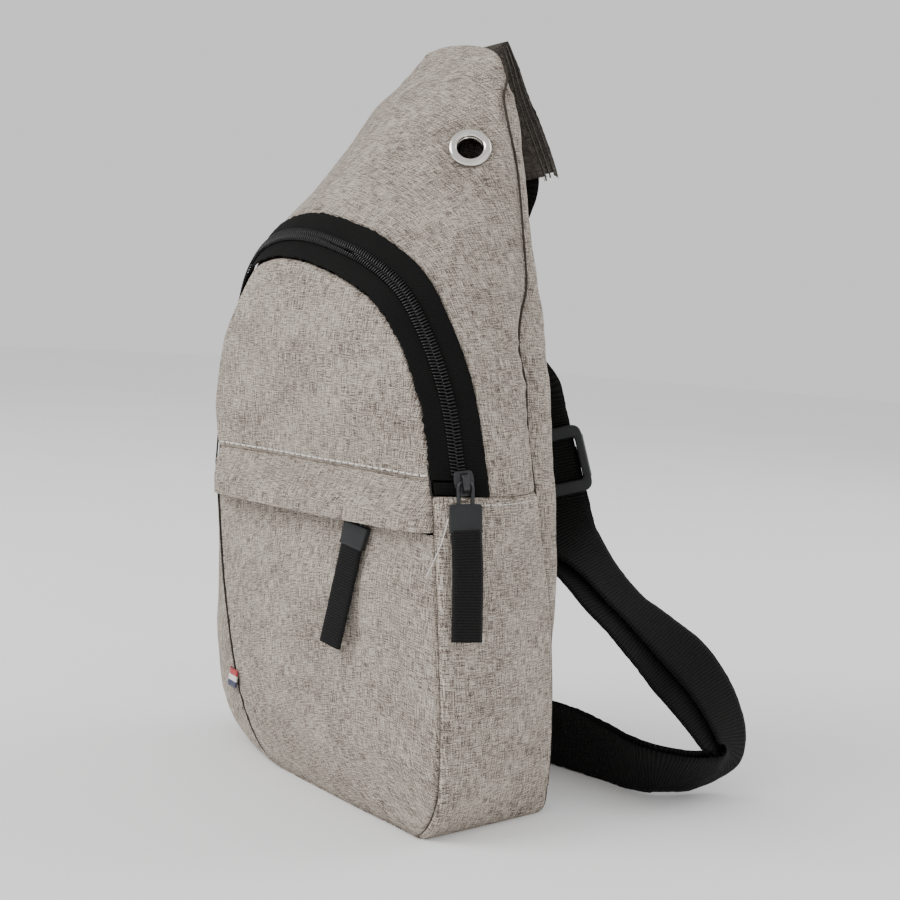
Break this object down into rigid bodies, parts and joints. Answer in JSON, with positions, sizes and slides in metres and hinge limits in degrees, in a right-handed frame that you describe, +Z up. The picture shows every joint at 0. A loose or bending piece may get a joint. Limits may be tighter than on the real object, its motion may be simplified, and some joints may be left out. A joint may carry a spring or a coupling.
{
  "type": "sling bag",
  "caption": "Upright fabric sling bag with a padded back, an arched zip flap, a zipped front pocket, a cable port and an adjustable webbing shoulder strap.",
  "frame": {"origin": "on the resting surface, under the middle of the base", "axes": "+X to the right seen from the front, +Y towards the padded back, +Z up along the bag"},
  "size_m": [0.2241, 0.1841, 0.3418],
  "materials": {
    "grey_fabric": "light grey melange woven polyester, linen look",
    "dark_fabric": "dark grey heavy woven fabric",
    "black_tape": "black woven zip tape",
    "black_webbing": "black ribbed nylon webbing",
    "black_nylon": "black nylon zip coil",
    "grey_plastic": "satin dark grey moulded plastic",
    "dark_metal": "gunmetal plating",
    "silver_metal": "bright nickel plating",
    "foam": "open-cell foam padding",
    "lining": "thin black lining",
    "ribbon": "woven striped ribbon"
  },
  "bodies": {
    "bag_body": {"back_lining": "lining", "back_foam": "foam", "back_cover": "grey_fabric", "side_and_bottom_gusset": "grey_fabric", "upper_body": "grey_fabric", "port_eyelet": "silver_metal", "port_washer": "silver_metal", "pocket_inner_wall": "lining", "pocket_panel": "grey_fabric", "pocket_zip_tape_lower": "black_tape", "pocket_zip_tape_upper": "black_tape", "pocket_coil_lower": "black_nylon", "pocket_coil_upper": "black_nylon", "pocket_zip_cover": "grey_fabric", "zip_tape_outer": "black_tape", "zip_coil_outer": "black_nylon", "zip_tape_end_right": "black_tape", "zip_tape_end_left": "black_tape", "strap_webbing": "black_webbing", "bottom_ring": "grey_plastic", "bottom_tab": "black_webbing", "top_tab_outer": "dark_fabric", "top_tab_inner": "dark_fabric", "side_ribbon_tag": "ribbon"},
    "flap": {"front_flap": "grey_fabric", "zip_tape_inner": "black_tape", "zip_coil_inner": "black_nylon"},
    "main_slider_body": {"main_slider": "dark_metal"},
    "main_pull": {"main_pull_link": "dark_metal", "main_pull_holder": "grey_plastic"},
    "main_pull_tail": {"main_pull_webbing": "black_webbing"},
    "pocket_slider_body": {"pocket_slider": "dark_metal"},
    "pocket_pull": {"pocket_pull_link": "dark_metal", "pocket_pull_holder": "grey_plastic"},
    "pocket_pull_tail": {"pocket_pull_webbing": "black_webbing"},
    "adjuster": {"strap_adjuster": "grey_plastic", "strap_sewn_end": "black_webbing"}
  },
  "joints": [
    {"name": "flap_open", "type": "hinge", "parent": "bag_body", "child": "flap", "pos_m": [0, -0.0395, 0.147], "axis": [1, 0, 0], "range_deg": [0, 86]},
    {"name": "main_slider_travel", "type": "slide", "parent": "bag_body", "child": "main_slider_body", "axis": [-0.277, 0.0012, 0.9609], "range_m": [0, 0.018]},
    {"name": "main_pull_swing", "type": "hinge", "parent": "main_slider_body", "child": "main_pull", "pos_m": [0.08563, -0.03086, 0.14765], "axis": [-0.5999, -0.7984, -0.0521], "range_deg": [0, 110]},
    {"name": "main_tail_lift", "type": "hinge", "parent": "main_pull", "child": "main_pull_tail", "pos_m": [0.08957, -0.03255, 0.12809], "axis": [-0.5999, -0.7984, -0.0521], "range_deg": [0, 60]},
    {"name": "pocket_slider_travel", "type": "slide", "parent": "bag_body", "child": "pocket_slider_body", "axis": [0.9995, -0.0311, 0], "range_m": [-0.085, 0.02]},
    {"name": "pocket_pull_swing", "type": "hinge", "parent": "pocket_slider_body", "child": "pocket_pull", "pos_m": [0.03555, -0.04234, 0.1295], "axis": [0.1152, -0.9925, 0.0417], "range_deg": [-14, 14]},
    {"name": "pocket_tail_lift", "type": "hinge", "parent": "pocket_pull", "child": "pocket_pull_tail", "pos_m": [0.03326, -0.04424, 0.11476], "axis": [-0.9804, -0.1068, 0.1656], "range_deg": [0, 70]},
    {"name": "adjuster_slide", "type": "slide", "parent": "bag_body", "child": "adjuster", "axis": [-0.2104, -0.2004, 0.9569], "range_m": [0, 0.018]}
  ]
}
